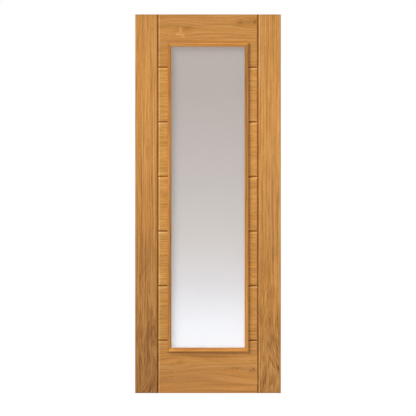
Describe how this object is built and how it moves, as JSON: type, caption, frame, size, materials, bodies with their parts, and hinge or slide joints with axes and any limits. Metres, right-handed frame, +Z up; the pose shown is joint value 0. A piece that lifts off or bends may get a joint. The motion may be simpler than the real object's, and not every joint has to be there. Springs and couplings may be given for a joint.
{
  "type": "glazed interior door leaf",
  "caption": "Tall oak interior door leaf with plain stiles, V-jointed cross boards and one long pane held by raised mitred beads; square edges take hinges and a latch.",
  "frame": {"origin": "bottom of the hinge edge, in the middle of the leaf's thickness", "axes": "+X across the leaf from the hinge edge to the latch edge, -Y out of the face in the picture, +Z up"},
  "size_m": [0.762, 0.057, 1.981],
  "materials": {
    "oak_face": "satin lacquered oak, grain along each piece",
    "oak_trim": "satin lacquered solid oak, grain along each strip",
    "glazing": "smooth pale glass"
  },
  "bodies": {
    "root": {"left_stile": "oak_face", "right_stile": "oak_face", "top_rail": "oak_face", "bottom_rail": "oak_face", "left_board_1": "oak_face", "left_board_2": "oak_face", "left_board_3": "oak_face", "left_board_4": "oak_face", "left_board_5": "oak_face", "right_board_1": "oak_face", "right_board_2": "oak_face", "right_board_3": "oak_face", "right_board_4": "oak_face", "right_board_5": "oak_face", "left_lipping": "oak_trim", "right_lipping": "oak_trim", "front_bead_left": "oak_trim", "front_bead_right": "oak_trim", "front_bead_top": "oak_trim", "front_bead_bottom": "oak_trim", "back_bead_left": "oak_trim", "back_bead_right": "oak_trim", "back_bead_top": "oak_trim", "back_bead_bottom": "oak_trim", "glass_pane": "glazing"}
  },
  "joints": []
}
